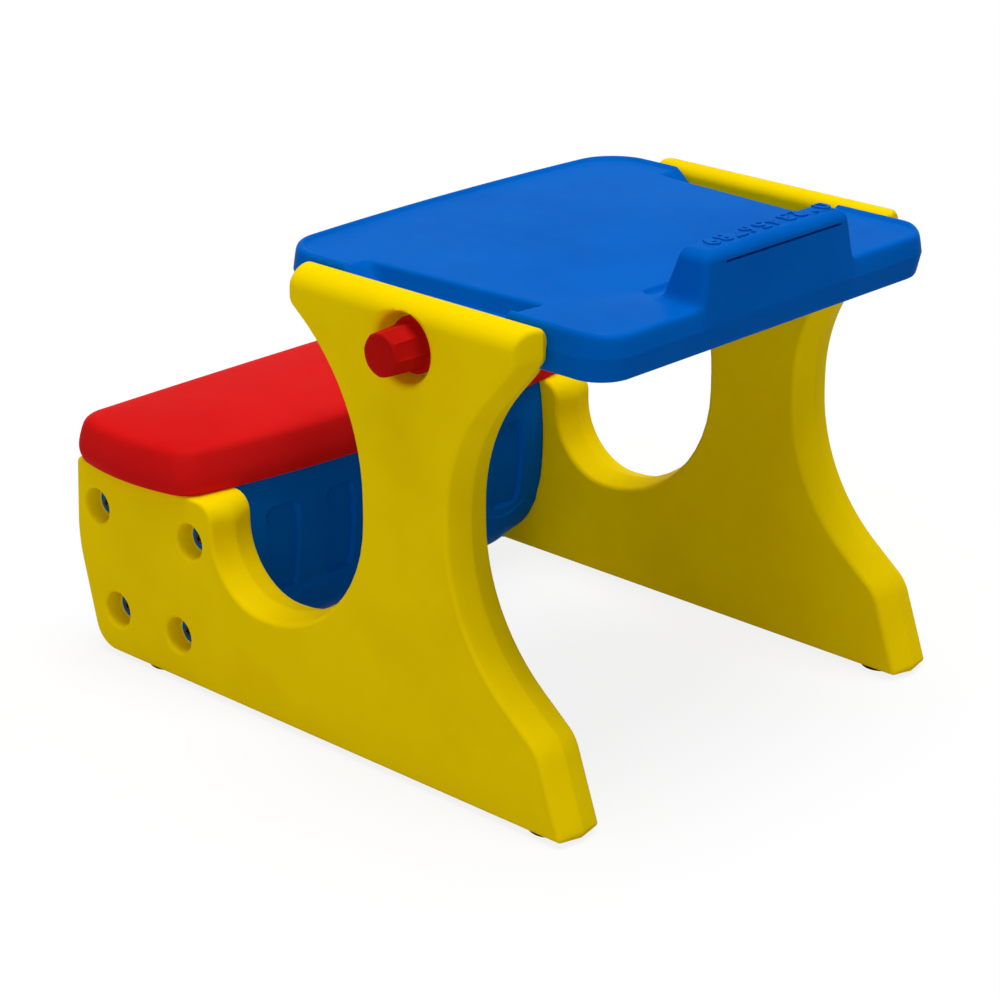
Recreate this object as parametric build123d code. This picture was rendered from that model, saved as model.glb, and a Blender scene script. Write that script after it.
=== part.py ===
from build123d import *
import math
import os

# Kids table with storage: a bench with a lift-up lid over a toy box, and a desk top that tilts
# between two side panels. Millimetres. +X is the way a seated child faces, +Y the child's left.
# Everything is drawn from a rear datum with Z = 0 at the panels' bottom edge. The export at the
# end moves it so that the origin is the middle of the footprint on the floor.

# Overall: the desk top's width sets the width of everything
MIDDLE_X = 384.0            # rear datum to the middle of the footprint
FOOT_HEIGHT = 8.0           # rubber foot below the panel
TABLE_HALF = 240.5          # half-width of the desk top at its parting line
REBATE_WALL = TABLE_HALF + 0.5
PANEL_WEB = 36.0            # panel thickness beside the desk top
PANEL_THICK = 54.0
PANEL_OUTER = REBATE_WALL + PANEL_WEB
PANEL_INNER = PANEL_OUTER - PANEL_THICK
PANEL_MID = PANEL_OUTER - PANEL_THICK / 2
WALL = 3.5                  # wall of the hollow blow-moulded pieces

# Side panel: corners of the flat face as x, z, corner radius, and how far the ridge at
# mid-thickness stands out past the face on the edge that starts at that corner
PANEL_BOTTOM = -2.5         # bottom edge of the face
PANEL_REAR = 71.0           # bottom edge of the face, rear end
PANEL_FRONT = 716.5         # bottom edge of the face, front end
BENCH_TOP = 199.0           # top edge of the panel's arm, where the lid rests
FLARE_TOP = 457.0           # top edge of the face, beside the desk top
FACE_CORNERS = [
    (PANEL_REAR, PANEL_BOTTOM, 30, 3.0),
    (PANEL_FRONT, PANEL_BOTTOM, 3, 6.5),
    (PANEL_FRONT - 29, 79.5, 38, 6.5),
    (PANEL_FRONT - 141, 168, 190, 6.5),
    (PANEL_FRONT - 141.5, 342, 178, 6.5),
    (PANEL_FRONT - 60.5, 439, 5, 11.5),
    (PANEL_FRONT - 60.5, FLARE_TOP, 4, 0.0),
    (373.5, FLARE_TOP, 4, 4.0),
    (373.5, 435, 12, 6.5),
    (466, 365, 205, 6.5),
    (466, 101, 142, 6.5),
    (252, 101, 70, 6.5),
    (252, BENCH_TOP, 20, 0.0),
    (PANEL_REAR - 23.5, BENCH_TOP, 6, 4.0),
    (PANEL_REAR - 28.5, BENCH_TOP - 89, 160, 4.0),
]
CROWN_HEIGHT = 11.5         # full round along the top of the flare
CROWN_REAR = 371.5
CROWN_FRONT = PANEL_FRONT - 53.5
CROWN_END_R = 8.0           # rounding of its two ends, seen from the side

# Desk top
TABLE_REAR = 301.0          # rear edge at the middle
TABLE_REAR_END = 312.0      # rear edge near the corners
TABLE_FRONT = 730.0
TABLE_REAR_CORNER = 50.0
TABLE_FRONT_CORNER = 40.0
TABLE_BOTTOM = 423.0
TABLE_PART = 446.0          # height of the parting line
TABLE_TOP = 469.0           # top of the raised rim
TABLE_DRAFT = 4.0
RIM_WIDTH = 12.0
RIM_HEIGHT = 3.0
WORK_TOP = TABLE_TOP - RIM_HEIGHT
TRAY_FLOOR = TABLE_TOP - 21.0
TRAY_OUT = TABLE_HALF + 20.0
TRAY_MIDDLE = 510.0
TRAY_CORNERS = [
    (404, TRAY_OUT),
    (410, TABLE_HALF - 33.5),
    (TRAY_MIDDLE, TABLE_HALF - 38.5),
    (607, TABLE_HALF - 44.5),
    (616, TRAY_OUT),
]
LEDGE_HEIGHT = 50.0         # ledge above the work surface
LEDGE_TOP = WORK_TOP + LEDGE_HEIGHT
LEDGE_FOOT = (TABLE_FRONT - 57.0, TABLE_FRONT - 0.5, 109.0)
LEDGE_HEAD = (TABLE_FRONT - 38.0, TABLE_FRONT - 3.0, 96.0)
SLOT_HALF = 82.0
SLOT_Z = LEDGE_TOP - 14.0
GROOVE_R = 9.0
GROOVE_X = LEDGE_FOOT[0] - 12.0
GROOVE_HALF = LEDGE_FOOT[2]

# Tilt joint of the desk top
PIVOT_X = 521.0
PIVOT_Z = TABLE_BOTTOM
TILT_DEG = 20.0
LUG_R = 30.0
POCKET_R = LUG_R + 3.0
STUD_R = 6.0
INSERT_R = 10.0
INSERT_LENGTH = 24.0
LUG_FACE = REBATE_WALL - 0.3
LUG_LENGTH = 45.0
KNOB_WELL_R = 35.0
KNOB_WELL_FLOOR_R = 29.0
KNOB_WELL_DEPTH = 22.0
KNOB_SEAT = PANEL_OUTER - KNOB_WELL_DEPTH
KNOB_WASHER = 2.0
KNOB_FACE = PANEL_OUTER + 27.0
KNOB_BASE_R = 27.0
KNOB_FACE_R = 22.0
KNOB_RIBS = 8

# Seat lid: corner and middle stations of the widest outline, at the parting line, and its
# sections as height above the bench top and inset from that outline at rear, front and ends
LID_REAR_END = 48.0
LID_REAR_MID = 45.0
LID_FRONT_END = 223.5
LID_FRONT_MID = 253.0
LID_HALF_CORNER = PANEL_OUTER + 4.0
LID_HALF_MID = PANEL_OUTER + 17.0
LID_CORNER_R = 13.0
LID_SECTIONS = [
    (0.0, 5.5, 2.5, 3.0),
    (14.0, 0.0, 0.0, 0.0),
    (37.0, 2.5, 5.0, 4.5),
    (44.0, 6.0, 10.0, 9.5),
    (48.0, 16.0, 22.0, 20.0),
    (52.5, 66.0, 66.0, 66.0),
]
LID_CAVITY = [
    (4.0, 8.0, 8.0, 8.0),
    (14.0, 4.0, 4.0, 4.0),
    (34.0, 6.5, 8.5, 8.0),
    (40.5, 10.5, 14.0, 13.5),
    (44.3, 21.0, 26.0, 24.0),
    (48.5, 70.0, 70.0, 70.0),
]

# Storage box
BOX_REAR = 62.0
BOX_FRONT = 230.5
BOX_FLOOR = 3.0
BOX_FRONT_R = 63.0          # outer radius of the edge along the bottom of the front
BOX_REAR_R = 30.0           # outer radius of the edge along the bottom of the rear
BOX_WALL = 4.0
BOX_POCKETS = {-162.0: 44.0, -84.0: 37.0, 0.0: 37.0, 84.0: 37.0, 162.0: 44.0}  # place: width
BOX_POCKET_HEIGHT = 96.0
BOX_POCKET_DEPTH = 2.0
BOX_POCKET_Z = 116.0

# Lid hinge
HINGE_X = LID_REAR_MID - 1.0
HINGE_Z = BENCH_TOP + 5.0
HINGE_Y = 120.0
HINGE_R = 6.0
HINGE_EAR_R = 4.5
HINGE_PIN_R = 2.5
HINGE_KNUCKLE = 22.0
HINGE_EAR = 11.0
RUNNING = 0.05              # radial clearance where one piece turns on another

# Screws that hold the box between the panels
SCREWS = {
    "upper_rear": (76.0, 152.0),
    "upper_front": (218.0, 152.0),
    "lower_rear": (101.5, 45.0),
    "lower_front": (196.0, 45.0),
}
SCREW_WELL_R = 21.0
SCREW_WELL_FLOOR_R = 16.0
SCREW_WELL_DEPTH = 20.0
SCREW_SEAT = PANEL_OUTER - SCREW_WELL_DEPTH
SCREW_R = 3.0
SCREW_HEAD_R = 7.0
SCREW_HEAD = 4.5
SCREW_TIP = PANEL_INNER - 20.0
SCREW_WASHER_R = 14.0
SCREW_WASHER = 2.5
BOSS_R = 9.0
BOSS_END = PANEL_INNER - 24.0

# Feet
FOOT_R = 21.0
FOOT_STEM_R = 4.0
FOOT_STEM = 10.0
FOOT_SEAT = PANEL_BOTTOM    # flat that the ridge along the panel's bottom has for the foot
FEET = {"rear": PANEL_REAR + 79.0, "front": PANEL_FRONT - 36.5}


def shifted(corners, amounts):
    """Corner list with each edge moved outward by its amount; the radii follow."""
    count = len(corners)
    lines = []
    for i in range(count):
        x0, z0 = corners[i][:2]
        x1, z1 = corners[(i + 1) % count][:2]
        length = math.hypot(x1 - x0, z1 - z0)
        nx = (z1 - z0) / length
        nz = -(x1 - x0) / length
        lines.append((nx, nz, nx * x0 + nz * z0 + amounts[i]))
    result = []
    for i in range(count):
        ax, az, ad = lines[i - 1]
        bx, bz, bd = lines[i]
        cross = ax * bz - az * bx
        x = (ad * bz - az * bd) / cross
        z = (ax * bd - ad * bx) / cross
        mean = (amounts[i - 1] + amounts[i]) / 2
        radius = corners[i][2] + (mean if cross > 0 else -mean)
        result.append((x, z, max(radius, 0.8)))
    return result


def outline(corners, y):
    """Closed wire with rounded corners, in the plane at this y."""
    points = [(x, z) for x, z, radius in corners]
    radii = [radius for x, z, radius in corners]
    plane = Plane(origin=(0, y, 0), x_dir=(1, 0, 0), z_dir=(0, -1, 0))
    return plane * FilletPolyline(*points, radius=radii, close=True)


def along_y(radius, y0, y1, x, z):
    """Cylinder along Y between two stations."""
    return Pos(x, (y0 + y1) / 2, z) * Rot(X=-90) * Cylinder(radius, abs(y1 - y0))


def cone_y(radius0, radius1, y0, y1, x, z):
    """Cone along Y: the first radius is at the lower station."""
    return Pos(x, (y0 + y1) / 2, z) * Rot(X=-90) * Cone(radius0, radius1, y1 - y0)


def block(x0, x1, y0, y1, z0, z1):
    """Box between stations."""
    return Pos((x0 + x1) / 2, (y0 + y1) / 2, (z0 + z1) / 2) * Box(x1 - x0, y1 - y0, z1 - z0)


def prism_y(points, y0, y1):
    """Prism of an x, z polygon between two y stations."""
    plane = Plane(origin=(0, y1, 0), x_dir=(1, 0, 0), z_dir=(0, -1, 0))
    face = plane * make_face(Polyline(*points, close=True))
    return extrude(face, amount=y1 - y0)


def prism_z(points, z0, z1):
    """Prism of an x, y polygon between two heights."""
    face = Pos(0, 0, z0) * make_face(Polyline(*points, close=True))
    return extrude(face, amount=z1 - z0)


# Side panels. Each is one hollow blow-moulded piece with a shallow ridge round its edge, and
# with a full round along the top of the flare that stands beside the desk top
face = [corner[:3] for corner in FACE_CORNERS]
ridge = shifted(face, [corner[3] for corner in FACE_CORNERS])
face_in = shifted(face, [-WALL] * len(face))
ridge_in = shifted(face, [-WALL] + [corner[3] - WALL for corner in FACE_CORNERS[1:]])
panel = Solid.make_loft(
    [outline(face, -PANEL_OUTER), outline(ridge, -PANEL_MID), outline(face, -PANEL_INNER)], True
)
hollow = Solid.make_loft(
    [
        outline(face_in, -PANEL_OUTER + WALL),
        outline(ridge_in, -PANEL_MID),
        outline(face_in, -PANEL_INNER - WALL),
    ],
    True,
)
crown_place = (CROWN_REAR - 1, -PANEL_OUTER + PANEL_WEB / 2, FLARE_TOP)
crown_plane = Plane(origin=crown_place, x_dir=(0, 1, 0), z_dir=(1, 0, 0))
crown_round = crown_plane * Ellipse(PANEL_WEB / 2 - 0.2, CROWN_HEIGHT)
crown = extrude(crown_round, amount=CROWN_FRONT - CROWN_REAR + 2)
crown_side = [
    (CROWN_REAR, FLARE_TOP - 20, 1),
    (CROWN_FRONT, FLARE_TOP - 20, 1),
    (CROWN_FRONT, FLARE_TOP + CROWN_HEIGHT, CROWN_END_R),
    (CROWN_REAR, FLARE_TOP + CROWN_HEIGHT, CROWN_END_R),
]
crown_end = extrude(make_face(outline(crown_side, -PANEL_INNER)), amount=PANEL_THICK)
panel += crown & crown_end

# The rebate beside the desk top: a shelf under its front half and a slope under its rear half
slope_rear = CROWN_REAR - 40
slope_front = CROWN_FRONT + 98
slope_drop = (PIVOT_X - slope_rear) * math.tan(math.radians(TILT_DEG))
rebate_points = [
    (slope_front, TABLE_BOTTOM),
    (slope_front, TABLE_TOP + 50),
    (slope_rear, TABLE_TOP + 50),
    (slope_rear, TABLE_BOTTOM - slope_drop),
    (PIVOT_X, TABLE_BOTTOM),
]
rebate = prism_y(rebate_points, -REBATE_WALL, -PANEL_INNER + 1)
pocket = along_y(POCKET_R, -REBATE_WALL, -PANEL_INNER + 1, PIVOT_X, PIVOT_Z)
wall_points = [(x, z if z > TABLE_TOP else z - WALL) for x, z in rebate_points]
hollow -= prism_y(wall_points, -REBATE_WALL - WALL, -PANEL_INNER + 1)
hollow -= along_y(KNOB_WELL_R + 4, -PANEL_OUTER, -PANEL_INNER, PIVOT_X, PIVOT_Z)
for x, z in SCREWS.values():
    hollow -= along_y(SCREW_WELL_R + WALL, -PANEL_OUTER, -PANEL_INNER, x, z)

right_panel = panel - hollow - rebate - pocket
right_panel -= cone_y(
    KNOB_WELL_R + 0.5, KNOB_WELL_FLOOR_R, -PANEL_OUTER - 1, -KNOB_SEAT, PIVOT_X, PIVOT_Z
)
right_panel -= along_y(STUD_R + 0.3, -KNOB_SEAT - 1, -REBATE_WALL + 1, PIVOT_X, PIVOT_Z)
for x, z in SCREWS.values():
    right_panel -= cone_y(
        SCREW_WELL_R + 0.125, SCREW_WELL_FLOOR_R, -PANEL_OUTER - 1, -SCREW_SEAT, x, z
    )
    right_panel -= along_y(SCREW_R, -SCREW_SEAT - 1, -PANEL_INNER + 1, x, z)
for x in FEET.values():
    stem_middle = FOOT_SEAT + FOOT_STEM / 2
    right_panel -= Pos(x, -PANEL_MID, stem_middle + 0.5) * Cylinder(FOOT_STEM_R, FOOT_STEM + 1)
    right_panel -= Pos(x, -PANEL_MID, FOOT_SEAT - 5) * Cylinder(FOOT_R + 0.5, 10)

# Desk top: a hollow slab with a raised rim, two trays open to the panels, and a number ledge
def table_plan(inset, z):
    rear = TABLE_REAR + inset
    rear_end = TABLE_REAR_END + inset
    front = TABLE_FRONT - inset
    half = TABLE_HALF - inset
    edges = [
        ThreePointArc((rear_end, -half), (rear, 0), (rear_end, half)),
        Line((rear_end, half), (front, half)),
        Line((front, half), (front, -half)),
        Line((front, -half), (rear_end, -half)),
    ]
    plan = make_face(edges)
    plan = fillet(plan.vertices().group_by(Axis.X)[0], TABLE_REAR_CORNER - inset)
    plan = fillet(plan.vertices().sort_by(Axis.X)[-2:], TABLE_FRONT_CORNER - inset)
    return Pos(0, 0, z) * plan


def ledge_plan(stations, z):
    x0, x1, half = stations
    return Pos((x0 + x1) / 2, 0, z) * RectangleRounded(x1 - x0, 2 * half, 7)


slab = loft(
    [
        table_plan(TABLE_DRAFT, TABLE_BOTTOM),
        table_plan(0, TABLE_PART),
        table_plan(TABLE_DRAFT, TABLE_TOP),
    ],
    ruled=True,
)
slab = fillet(slab.faces().sort_by(Axis.Z)[-1].edges(), 4)
slab = fillet(slab.faces().sort_by(Axis.Z)[0].edges(), 5)
slab_hollow = extrude(table_plan(9, TABLE_BOTTOM + WALL), amount=WORK_TOP - TABLE_BOTTOM - 2 * WALL)
work_recess = extrude(table_plan(RIM_WIDTH, WORK_TOP), amount=20)
recess_half = TABLE_HALF - RIM_WIDTH - TABLE_DRAFT
work_recess += block(
    TABLE_FRONT - 60, TABLE_FRONT + 5, -recess_half, recess_half, WORK_TOP, WORK_TOP + 20
)
ledge = loft([ledge_plan(LEDGE_FOOT, TABLE_PART), ledge_plan(LEDGE_HEAD, LEDGE_TOP)], ruled=True)
ledge = fillet(ledge.faces().sort_by(Axis.Z)[-1].edges(), 5)
ledge_hollow = block(
    LEDGE_HEAD[0] + 3,
    LEDGE_HEAD[1] - 8,
    -LEDGE_HEAD[2] + 8,
    LEDGE_HEAD[2] - 8,
    TABLE_PART,
    SLOT_Z - 6,
)
groove = along_y(GROOVE_R, -GROOVE_HALF, GROOVE_HALF, GROOVE_X, WORK_TOP + 4)
groove_wall = GROOVE_R + 4
slab_hollow -= block(
    GROOVE_X - groove_wall,
    GROOVE_X + groove_wall,
    -GROOVE_HALF - 4,
    GROOVE_HALF + 4,
    WORK_TOP - groove_wall + 3,
    TABLE_TOP + 12,
)
slab_hollow += ledge_hollow
table_top = slab
for side in (-1, 1):
    tray_wall = [(x + 5 * math.copysign(1, x - TRAY_MIDDLE), side * (y - 5)) for x, y in TRAY_CORNERS]
    rim_wall = [(x + 9 * math.copysign(1, x - TRAY_MIDDLE), side * (y - 9)) for x, y in TRAY_CORNERS]
    work_recess -= prism_z(rim_wall, WORK_TOP - 1, TABLE_TOP + 30)
    slab_hollow -= prism_z(tray_wall, TRAY_FLOOR - WALL, TABLE_TOP)
    lug_end = LUG_FACE - LUG_LENGTH
    slab_hollow -= along_y(LUG_R + WALL, side * (lug_end - 4), side * LUG_FACE, PIVOT_X, PIVOT_Z)
    table_top += along_y(LUG_R, side * lug_end, side * LUG_FACE, PIVOT_X, PIVOT_Z)
for side in (-1, 1):
    tray = [(x, side * y) for x, y in TRAY_CORNERS]
    table_top -= prism_z(tray, TRAY_FLOOR, TABLE_TOP + 30)
    table_top -= along_y(INSERT_R, side * (LUG_FACE - INSERT_LENGTH), side * TRAY_OUT, PIVOT_X, PIVOT_Z)
table_top -= work_recess
table_top += ledge
table_top -= groove
table_top -= block(
    TABLE_FRONT - 14, TABLE_FRONT + 10, -SLOT_HALF, SLOT_HALF, SLOT_Z - 1, SLOT_Z + 1
)
table_top -= slab_hollow
table_top -= Pos(TABLE_REAR + 100, 0, TABLE_BOTTOM) * Cylinder(4, 20)

# Seat lid: a hollow cushion-shaped piece with bowed edges, and a hinge knuckle at each side
def lid_plan(up, inset_rear, inset_front, inset_end):
    rear = LID_REAR_END + inset_rear
    front = LID_FRONT_END - inset_front
    half = LID_HALF_CORNER - inset_end
    middle = (rear + front) / 2
    rear_mid = LID_REAR_MID + inset_rear
    front_mid = LID_FRONT_MID - inset_front
    half_mid = LID_HALF_MID - inset_end
    edges = [
        ThreePointArc((rear, -half), (rear_mid, 0), (rear, half)),
        ThreePointArc((rear, half), (middle, half_mid), (front, half)),
        ThreePointArc((front, half), (front_mid, 0), (front, -half)),
        ThreePointArc((front, -half), (middle, -half_mid), (rear, -half)),
    ]
    plan = make_face(edges)
    return Pos(0, 0, BENCH_TOP + up) * fillet(plan.vertices(), LID_CORNER_R)


seat_lid = loft([lid_plan(*section) for section in LID_SECTIONS], ruled=True)
lid_hollow = loft([lid_plan(*section) for section in LID_CAVITY], ruled=True)
seat_lid -= lid_hollow
seat_lid -= Pos((LID_REAR_MID + LID_FRONT_MID) / 2, 0, BENCH_TOP) * Cylinder(4, 12)

# Storage box: an open tub with a well-rounded bottom and shallow upright pockets on its front
tub = block(BOX_REAR, BOX_FRONT, -PANEL_INNER, PANEL_INNER, BOX_FLOOR, BENCH_TOP)
tub_front = tub.edges().filter_by(Axis.Y).group_by(Axis.Z)[0].sort_by(Axis.X)[-1]
tub = fillet(tub_front, BOX_FRONT_R)
tub_rear = tub.edges().filter_by(Axis.Y).group_by(Axis.Z)[0].sort_by(Axis.X)[0]
tub = fillet(tub_rear, BOX_REAR_R)
inner = block(
    BOX_REAR + BOX_WALL,
    BOX_FRONT - BOX_WALL,
    -PANEL_INNER + BOX_WALL,
    PANEL_INNER - BOX_WALL,
    BOX_FLOOR + BOX_WALL,
    BENCH_TOP + 20,
)
inner_front = inner.edges().filter_by(Axis.Y).group_by(Axis.Z)[0].sort_by(Axis.X)[-1]
inner = fillet(inner_front, BOX_FRONT_R - BOX_WALL)
inner_rear = inner.edges().filter_by(Axis.Y).group_by(Axis.Z)[0].sort_by(Axis.X)[0]
inner = fillet(inner_rear, BOX_REAR_R - BOX_WALL)
storage_box = tub - inner
for side in (-1, 1):
    for x, z in SCREWS.values():
        storage_box += along_y(BOSS_R, side * BOSS_END, side * PANEL_INNER, x, z)
    for x, z in SCREWS.values():
        storage_box -= along_y(SCREW_R, side * SCREW_TIP, side * (PANEL_INNER + 1), x, z)
for y, width in BOX_POCKETS.items():
    place = (BOX_FRONT - BOX_POCKET_DEPTH, y, BOX_POCKET_Z)
    plane = Plane(origin=place, x_dir=(0, 1, 0), z_dir=(1, 0, 0))
    pocket_face = plane * RectangleRounded(width, BOX_POCKET_HEIGHT, 9)
    storage_box -= extrude(pocket_face, amount=5)

# Hinges: two ears on the box and one knuckle on the lid, on one pin
hinge_pins = {}
for side_name, side in (("right", -1), ("left", 1)):
    y = side * HINGE_Y
    half = HINGE_KNUCKLE / 2
    for near, far in ((-half - HINGE_EAR - 0.5, -half - 0.5), (half + 0.5, half + HINGE_EAR + 0.5)):
        ear = along_y(HINGE_EAR_R, y + near, y + far, HINGE_X, HINGE_Z)
        ear += block(
            HINGE_X - HINGE_EAR_R,
            HINGE_X + HINGE_EAR_R,
            y + near,
            y + far,
            BENCH_TOP - 11,
            HINGE_Z,
        )
        ear += block(HINGE_X, BOX_REAR + 1, y + near, y + far, BENCH_TOP - 13, BENCH_TOP - 0.5)
        storage_box += ear
    storage_box -= along_y(HINGE_PIN_R, y - 40, y + 40, HINGE_X, HINGE_Z)
    knuckle = along_y(HINGE_R, y - half, y + half, HINGE_X, HINGE_Z)
    knuckle += block(HINGE_X, HINGE_X + 14, y - half, y + half, BENCH_TOP + 0.5, HINGE_Z + 5)
    seat_lid += knuckle
    seat_lid -= along_y(HINGE_PIN_R + RUNNING, y - half - 1, y + half + 1, HINGE_X, HINGE_Z)
    pin_half = half + HINGE_EAR + 0.5
    hinge_pins[side_name] = along_y(HINGE_PIN_R, y - pin_half, y + pin_half, HINGE_X, HINGE_Z)

# Tilt knob of the right side: ribbed hand knob, washer and stud, and the insert in the desk top
knob_base = KNOB_SEAT + KNOB_WASHER
right_knob = cone_y(
    KNOB_FACE_R, KNOB_BASE_R - 2, -KNOB_FACE, -knob_base - 6, PIVOT_X, PIVOT_Z
)
right_knob = fillet(right_knob.edges().sort_by(Axis.Y)[0], 4)
right_knob += along_y(KNOB_BASE_R, -knob_base - 6, -knob_base, PIVOT_X, PIVOT_Z)
for k in range(KNOB_RIBS):
    angle = 2 * math.pi * (k + 0.5) / KNOB_RIBS
    x = PIVOT_X + 30 * math.cos(angle)
    z = PIVOT_Z + 30 * math.sin(angle)
    right_knob -= along_y(9.5, -KNOB_FACE - 1, -knob_base - 6, x, z)
right_knob -= along_y(STUD_R, -KNOB_FACE + 12, -knob_base + 1, PIVOT_X, PIVOT_Z)
right_stud = along_y(
    STUD_R, -KNOB_FACE + 12, -LUG_FACE + INSERT_LENGTH - 1, PIVOT_X, PIVOT_Z
)
right_knob_washer = along_y(KNOB_BASE_R - 1, -knob_base, -KNOB_SEAT, PIVOT_X, PIVOT_Z)
right_knob_washer -= along_y(STUD_R, -knob_base - 1, -KNOB_SEAT + 1, PIVOT_X, PIVOT_Z)
right_insert = along_y(INSERT_R, -LUG_FACE, -LUG_FACE + INSERT_LENGTH, PIVOT_X, PIVOT_Z)
right_insert -= along_y(
    STUD_R + RUNNING, -LUG_FACE - 1, -LUG_FACE + INSERT_LENGTH + 1, PIVOT_X, PIVOT_Z
)

# Right-hand pieces, mirrored for the left
right_pieces = {
    "side_panel": right_panel,
    "tilt_knob": right_knob,
    "knob_stud": right_stud,
    "knob_washer": right_knob_washer,
    "desk_insert": right_insert,
}
for place, (x, z) in SCREWS.items():
    washer = along_y(SCREW_WASHER_R, -SCREW_SEAT - SCREW_WASHER, -SCREW_SEAT, x, z)
    washer -= along_y(SCREW_R, -SCREW_SEAT - SCREW_WASHER - 1, -SCREW_SEAT + 1, x, z)
    right_pieces["screw_washer_" + place] = washer
    head = -SCREW_SEAT - SCREW_WASHER
    screw = along_y(SCREW_R, head, -SCREW_TIP, x, z)
    screw += along_y(SCREW_HEAD_R, head - SCREW_HEAD, head, x, z)
    screw -= along_y(2.5, head - SCREW_HEAD - 1, head - 1.5, x, z)
    right_pieces["panel_screw_" + place] = screw
for place, x in FEET.items():
    foot_middle = (FOOT_SEAT - FOOT_HEIGHT) / 2
    foot = Pos(x, -PANEL_MID, foot_middle) * Cylinder(FOOT_R, FOOT_HEIGHT + FOOT_SEAT)
    foot = fillet(foot.edges().sort_by(Axis.Z)[0], 2)
    foot += Pos(x, -PANEL_MID, FOOT_SEAT + FOOT_STEM / 2) * Cylinder(FOOT_STEM_R, FOOT_STEM)
    right_pieces["foot_" + place] = foot

nodes = {
    "storage_box": storage_box,
    "seat_lid": seat_lid,
    "table_top": table_top,
    "lid_hinge_pin_right": hinge_pins["right"],
    "lid_hinge_pin_left": hinge_pins["left"],
}
for name, piece in right_pieces.items():
    nodes[name + "_right"] = piece
    nodes[name + "_left"] = mirror(piece, about=Plane.XZ)

os.makedirs("parts", exist_ok=True)
for name, piece in nodes.items():
    export_step(Pos(-MIDDLE_X, 0, FOOT_HEIGHT) * piece, "parts/" + name + ".step")
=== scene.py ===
import math

import bmesh
import bpy
import numpy as np
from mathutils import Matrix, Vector
from mathutils.geometry import delaunay_2d_cdt


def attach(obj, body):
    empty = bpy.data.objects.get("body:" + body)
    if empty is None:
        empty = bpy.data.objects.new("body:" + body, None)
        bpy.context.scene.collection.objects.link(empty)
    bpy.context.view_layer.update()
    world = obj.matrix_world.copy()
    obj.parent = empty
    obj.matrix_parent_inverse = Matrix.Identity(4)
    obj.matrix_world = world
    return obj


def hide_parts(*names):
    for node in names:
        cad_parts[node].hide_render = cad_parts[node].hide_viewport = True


# The finished child's bench desk, as the frame holds it: yellow side panels, a blue desk top and
# toy box, a red seat lid. Lengths are millimetres from a rear datum near the panels' bottom edge.
bpy.ops.wm.read_factory_settings(use_empty=True)
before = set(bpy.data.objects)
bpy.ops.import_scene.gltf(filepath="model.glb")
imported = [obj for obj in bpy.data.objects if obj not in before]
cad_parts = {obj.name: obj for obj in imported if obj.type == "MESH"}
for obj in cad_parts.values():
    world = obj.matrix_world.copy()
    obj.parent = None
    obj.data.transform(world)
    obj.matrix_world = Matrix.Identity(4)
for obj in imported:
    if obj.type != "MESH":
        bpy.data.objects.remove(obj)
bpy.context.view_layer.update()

# Side panels: one big hollow piece each, blow-moulded in yellow polyethylene, with a soft ridge
# round the edge where the mould halves met. Everything else is screwed or hung between them.
DATUM = np.array([-384.0, 0.0, 8.0])
METRES = 0.001
WELD = 2e-6
SLIVER = 1e-6
CAP_RING = 0.5
TURN_WEIGHT = 14.0
TURN_MOST = 0.5
LEAST_RADIUS = 0.8
PANEL_OUTER = 277.0
PANEL_THICK = 54.0
PANEL_WEB = 36.0
PANEL_ROUND = 4.0
# Corners of the face: x, z, radius, and the ridge of the edge that starts there
PANEL_CORNERS = np.array([
    (71, -2.5, 30, 3.0), (716.5, -2.5, 3, 6.5), (687.5, 79.5, 38, 6.5), (575.5, 168, 190, 6.5),
    (575, 342, 178, 6.5), (656, 434.5, 7, 11.5), (656, 457, 5.0, 0.0), (373.5, 457, 7, 4.0),
    (373.5, 435, 12, 6.5), (466, 365, 205, 6.5), (466, 101, 142, 6.5), (252, 101, 70, 6.5),
    (252, 199, 20, 0.0), (47.5, 199, 6, 4.0), (42.5, 110, 160, 4.0),
])
FLARE_EDGE = 6
FLARE_CROWN = 11.4
CROWN_START = -9.0
CROWN_PEAK = 22.0
BEAD = 3.0
BEAD_FADE = 12.0
BEAD_CROWN = (440.0, 12.0)
PANEL_STATIONS = (6, 8.5, 11, 14, 18, 22, 25, 27, 29, 31.5, 33, 34.2, 35.2, 35.8, 36, 39, 42, 46)
FLARE_POINTS = 170
LEG_POINTS = 520
SHELF_HEIGHT = 423.0
SHELF_SINK = 0.45
PIVOT_X = 521.0
SHELF_SLOPE = math.radians(20.0)
POCKET_RADIUS = 33.0
# Wells: radius and depth from the face
KNOB_WELL = np.array([
    (42, 0), (41, 0), (39.2, 0.15), (37.6, 0.5), (36.2, 1.1), (35, 2), (34, 3.2), (33.2, 5),
    (32.8, 7), (29.6, 18.6), (28.9, 20.4), (28.2, 21.5), (27.5, 22), (6.3, 22), (6.3, 36),
])
WELL_LIP = 12
WELL_CEILING = 24.2
SCREW_WELL = np.array([
    (22.5, 0), (22.1, 0), (20.9, 0.25), (19.7, 0.9), (18.8, 1.9), (18.2, 3.2), (16.9, 17),
    (16.5, 19.1), (15.7, 20), (3.1, 20), (3.1, 54),
])
SCREW_PLACES = {
    "upper_rear": (76.0, 152.0), "upper_front": (218.0, 152.0),
    "lower_rear": (101.5, 45.0), "lower_front": (196.0, 45.0),
}
YELLOW_PALE = (1.0, 0.72, 0.0, 1)
YELLOW_DEEP = (0.94, 0.655, 0.0, 1)
SATIN = 0.42
SKIN_GRAIN = 0.12


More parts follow.
